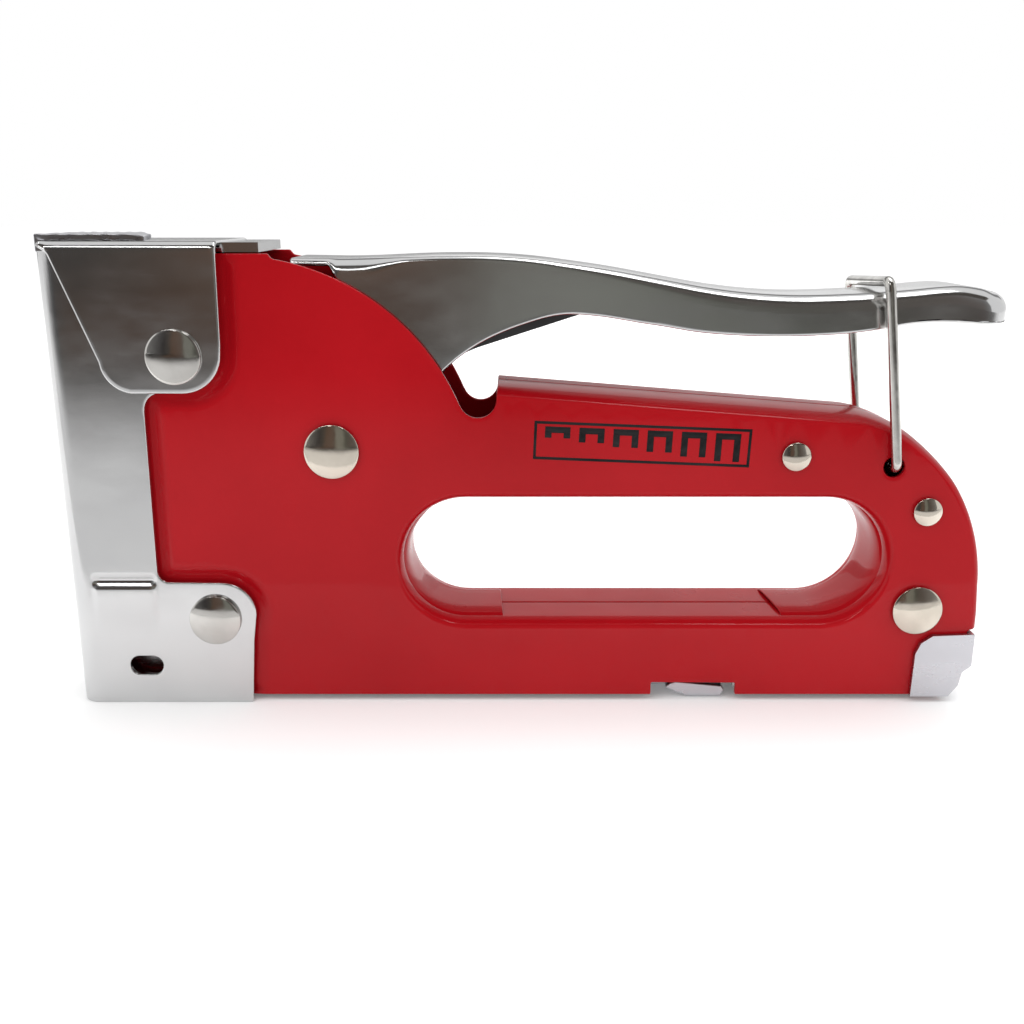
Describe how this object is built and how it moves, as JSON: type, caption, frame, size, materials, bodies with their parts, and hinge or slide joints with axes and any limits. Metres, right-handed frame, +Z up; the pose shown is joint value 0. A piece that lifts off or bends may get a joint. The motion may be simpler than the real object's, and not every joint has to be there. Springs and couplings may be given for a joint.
{
  "type": "staple gun",
  "caption": "Hand staple gun with a pressed-steel body, plated nose and squeeze lever held by a wire lock loop, with a grip opening and a pull-out magazine.",
  "frame": {"origin": "middle of the whole gun in plan, level with the foot of the nose", "axes": "+X from the nose to the lever's free end, +Y to the gun's right side, +Z up"},
  "size_m": [0.1674, 0.0276, 0.0842],
  "materials": {
    "red_enamel": "gloss red baked enamel",
    "chrome_plate": "bright plating with faint rolling marks",
    "nickel_rivet": "polished, slightly warm nickel",
    "bare_steel": "zinc plated steel",
    "spring_steel": "oiled spring wire",
    "black_steel": "satin black",
    "black_rubber": "matte"
  },
  "bodies": {
    "frame": {"left_shell": "red_enamel", "right_shell": "red_enamel", "nose_plate": "chrome_plate", "top_cap": "chrome_plate", "top_strip": "chrome_plate", "cap_rivet": "nickel_rivet", "nose_rivet": "nickel_rivet", "pivot_rivet": "nickel_rivet", "rear_rivet": "nickel_rivet", "handle_rivets": "nickel_rivet", "spacers": "bare_steel", "spring_seat": "bare_steel", "bumper": "black_rubber", "magazine_channel": "bare_steel", "catch_pin": "bare_steel", "drive_spring": "spring_steel"},
    "lever": {"lever_cover": "chrome_plate", "lifter_arm": "black_steel"},
    "loop": {"lock_loop": "bare_steel"},
    "striker": {"striker_blade": "bare_steel", "plunger_block": "bare_steel"},
    "magazine": {"staple_rail": "bare_steel", "rear_clip": "chrome_plate", "pusher_rod": "bare_steel", "pusher_spring": "spring_steel"},
    "follower": {"pusher": "bare_steel"},
    "catch": {"catch_tab": "chrome_plate"}
  },
  "joints": [
    {"name": "lever_hinge", "type": "hinge", "parent": "frame", "child": "lever", "pos_m": [-0.0338, 0, 0.0473], "axis": [0, -1, 0], "range_deg": [0, 26]},
    {"name": "loop_swing", "type": "hinge", "parent": "frame", "child": "loop", "pos_m": [0.0647, 0, 0.0444], "axis": [0, 1, 0], "range_deg": [0, 126], "deforming": ["lock_loop"]},
    {"name": "striker_slide", "type": "slide", "parent": "frame", "child": "striker", "axis": [0, 0, -1], "range_m": [0, 0.0165], "deforming": ["drive_spring"]},
    {"name": "magazine_slide", "type": "slide", "parent": "frame", "child": "magazine", "axis": [1, 0, 0], "range_m": [0, 0.088]},
    {"name": "pusher_slide", "type": "slide", "parent": "magazine", "child": "follower", "axis": [1, 0, 0], "range_m": [0, 0.088], "stiffness_N_per_m": 12, "springref_m": -0.1, "deforming": ["pusher_spring"]},
    {"name": "catch_hinge", "type": "hinge", "parent": "frame", "child": "catch", "pos_m": [0.0212, 0, 0.0024], "axis": [0, -1, 0], "range_deg": [0, 5.5], "stiffness_Nm_per_rad": 0.1, "springref_deg": -40.11}
  ],
  "couplings": [
    {"joint": "loop_swing", "follows": "lever_hinge", "ratio": 4.8},
    {"joint": "striker_slide", "follows": "lever_hinge", "m_per_rad": 0.035693}
  ]
}
